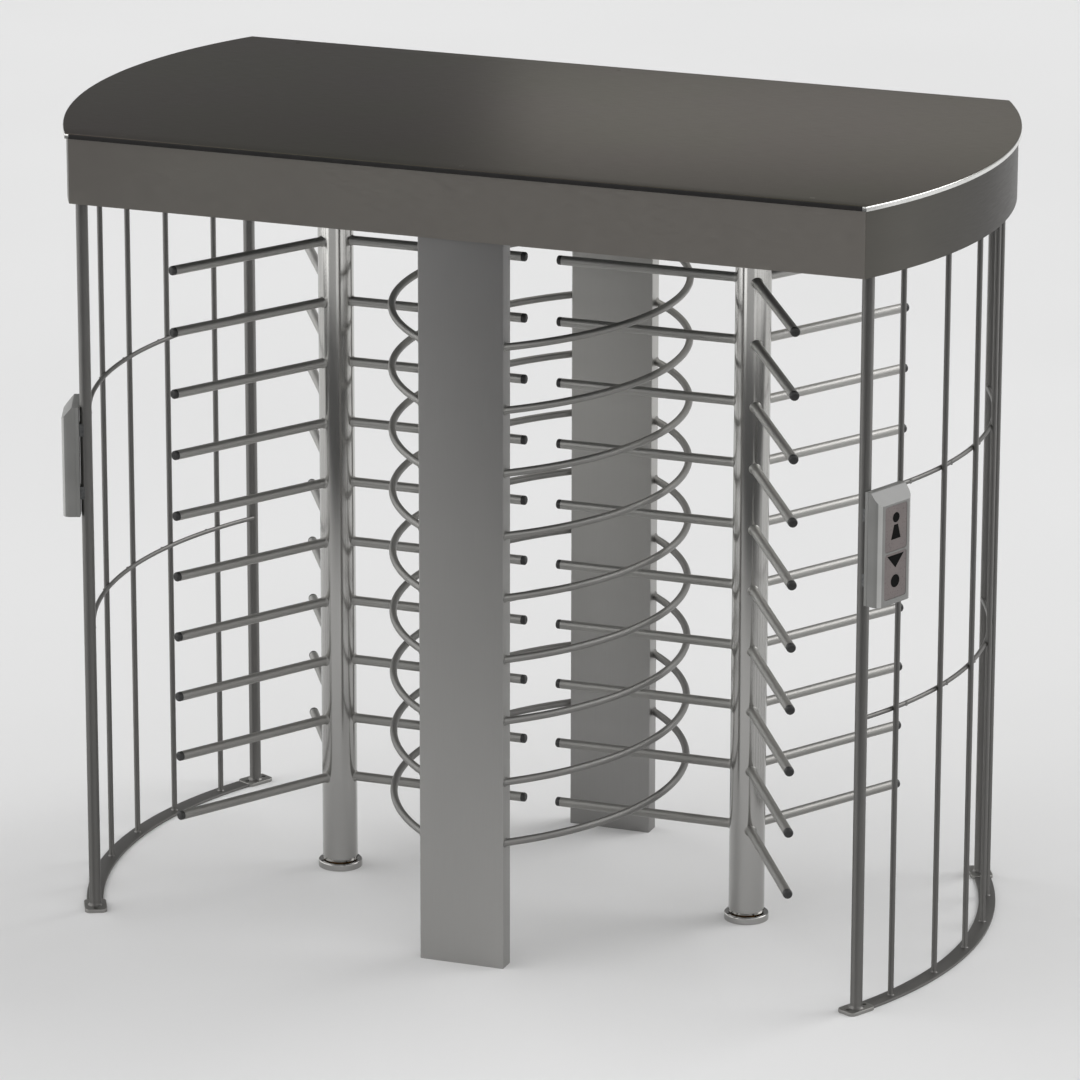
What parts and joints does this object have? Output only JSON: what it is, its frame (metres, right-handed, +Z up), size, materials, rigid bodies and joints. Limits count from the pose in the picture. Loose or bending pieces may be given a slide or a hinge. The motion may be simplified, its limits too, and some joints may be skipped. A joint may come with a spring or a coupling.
{
  "type": "full height turnstile",
  "caption": "Tandem full height turnstile: two three-winged rotors turn in bar cages under one canopy, with divider columns, barrier hoops and card readers.",
  "frame": {"origin": "on the floor under the middle of the canopy", "axes": "+X along the long side, +Y from the front lane mouths to the rear ones, +Z up"},
  "size_m": [2.6756, 1.341, 2.3],
  "materials": {
    "satin_stainless_steel": "satin brushed stainless steel",
    "lid_sheet": "dark grey textured powder coat",
    "fascia_sheet": "mid grey powder coat",
    "divider_sheet": "grey satin powder coat",
    "cap_plastic": "moulded dark nylon",
    "galvanised_steel": "galvanised mild steel",
    "machined_steel": "machined steel",
    "bearing_bronze": "turned bearing bronze",
    "cast_housing": "cast iron, painted",
    "solenoid_case": "black enamel",
    "damper_case": "turned aluminium",
    "supply_case": "folded aluminium",
    "board_laminate": "green circuit board",
    "terminal_plastic": "moulded grey plastic",
    "gland_plastic": "moulded black nylon",
    "reader_case": "grey powder coat",
    "reader_window": "tinted polycarbonate",
    "mark_ink": "black inlay"
  },
  "bodies": {
    "turnstile_frame": {"front_divider_column": "divider_sheet", "rear_divider_column": "divider_sheet", "divider_base_plates": "galvanised_steel", "right_barrier_hoops": "satin_stainless_steel", "left_barrier_hoops": "satin_stainless_steel", "cage_corner_posts": "satin_stainless_steel", "cage_vertical_bars": "satin_stainless_steel", "cage_hoops": "satin_stainless_steel", "cage_base_rails": "satin_stainless_steel", "post_foot_plates": "satin_stainless_steel", "canopy_lid": "lid_sheet", "canopy_front_fascia": "fascia_sheet", "canopy_rear_cover": "fascia_sheet", "canopy_end_fascias": "fascia_sheet", "canopy_soffit": "galvanised_steel", "header_frame": "galvanised_steel", "lid_standoffs": "galvanised_steel", "lid_screws": "machined_steel", "rear_cover_screws": "satin_stainless_steel", "cable_gland": "gland_plastic", "mechanism_plates": "galvanised_steel", "upper_bearing_housings": "cast_housing", "upper_bearing_bushes": "bearing_bronze", "floor_pivots": "satin_stainless_steel", "thrust_washers": "bearing_bronze", "lock_solenoids": "solenoid_case", "lever_pivot_pins": "machined_steel", "lever_springs": "machined_steel", "damper_bodies": "damper_case", "electronics_tray": "galvanised_steel", "power_supply": "supply_case", "control_board": "board_laminate", "terminal_block": "terminal_plastic", "reader_housings": "reader_case", "reader_windows": "reader_window", "reader_marks": "mark_ink", "reader_boards": "board_laminate", "reader_saddles": "galvanised_steel"},
    "left_rotor": {"left_rotor_column": "satin_stainless_steel", "left_rotor_arms": "satin_stainless_steel", "left_arm_end_caps": "cap_plastic", "left_top_shaft": "machined_steel", "left_lower_bush": "bearing_bronze", "left_lock_wheel": "machined_steel", "left_drive_gear": "machined_steel", "left_shaft_nut": "machined_steel"},
    "left_damper_shaft": {"left_damper_pinion": "machined_steel"},
    "left_lever": {"left_lock_lever": "machined_steel"},
    "left_plunger": {"left_solenoid_plunger": "machined_steel"},
    "right_rotor": {"right_rotor_column": "satin_stainless_steel", "right_rotor_arms": "satin_stainless_steel", "right_arm_end_caps": "cap_plastic", "right_top_shaft": "machined_steel", "right_lower_bush": "bearing_bronze", "right_lock_wheel": "machined_steel", "right_drive_gear": "machined_steel", "right_shaft_nut": "machined_steel"},
    "right_damper_shaft": {"right_damper_pinion": "machined_steel"},
    "right_lever": {"right_lock_lever": "machined_steel"},
    "right_plunger": {"right_solenoid_plunger": "machined_steel"}
  },
  "joints": [
    {"name": "left_rotor_turn", "type": "hinge", "parent": "turnstile_frame", "child": "left_rotor", "pos_m": [-0.628, 0, 0], "axis": [0, 0, 1], "continuous": true},
    {"name": "left_damper_turn", "type": "hinge", "parent": "turnstile_frame", "child": "left_damper_shaft", "pos_m": [-0.628, 0.128, 2.2], "axis": [0, 0, 1], "continuous": true},
    {"name": "left_lever_swing", "type": "hinge", "parent": "turnstile_frame", "child": "left_lever", "pos_m": [-0.543, -0.094, 2.189], "axis": [0, 0, -1], "range_deg": [0, 6], "stiffness_Nm_per_rad": 0.6, "springref_deg": -17.19},
    {"name": "left_plunger_slide", "type": "slide", "parent": "turnstile_frame", "child": "left_plunger", "axis": [-1, 0, 0], "range_m": [0, 0.0048]},
    {"name": "right_rotor_turn", "type": "hinge", "parent": "turnstile_frame", "child": "right_rotor", "pos_m": [0.628, 0, 0], "axis": [0, 0, 1], "continuous": true},
    {"name": "right_damper_turn", "type": "hinge", "parent": "turnstile_frame", "child": "right_damper_shaft", "pos_m": [0.628, -0.128, 2.2], "axis": [0, 0, 1], "continuous": true},
    {"name": "right_lever_swing", "type": "hinge", "parent": "turnstile_frame", "child": "right_lever", "pos_m": [0.543, 0.094, 2.189], "axis": [0, 0, -1], "range_deg": [0, 6], "stiffness_Nm_per_rad": 0.6, "springref_deg": -17.19},
    {"name": "right_plunger_slide", "type": "slide", "parent": "turnstile_frame", "child": "right_plunger", "axis": [1, 0, 0], "range_m": [0, 0.0048]}
  ],
  "couplings": [
    {"joint": "left_damper_turn", "follows": "left_rotor_turn", "ratio": -3},
    {"joint": "left_plunger_slide", "follows": "left_lever_swing", "m_per_rad": 0.045},
    {"joint": "right_damper_turn", "follows": "right_rotor_turn", "ratio": -3},
    {"joint": "right_plunger_slide", "follows": "right_lever_swing", "m_per_rad": 0.045}
  ]
}
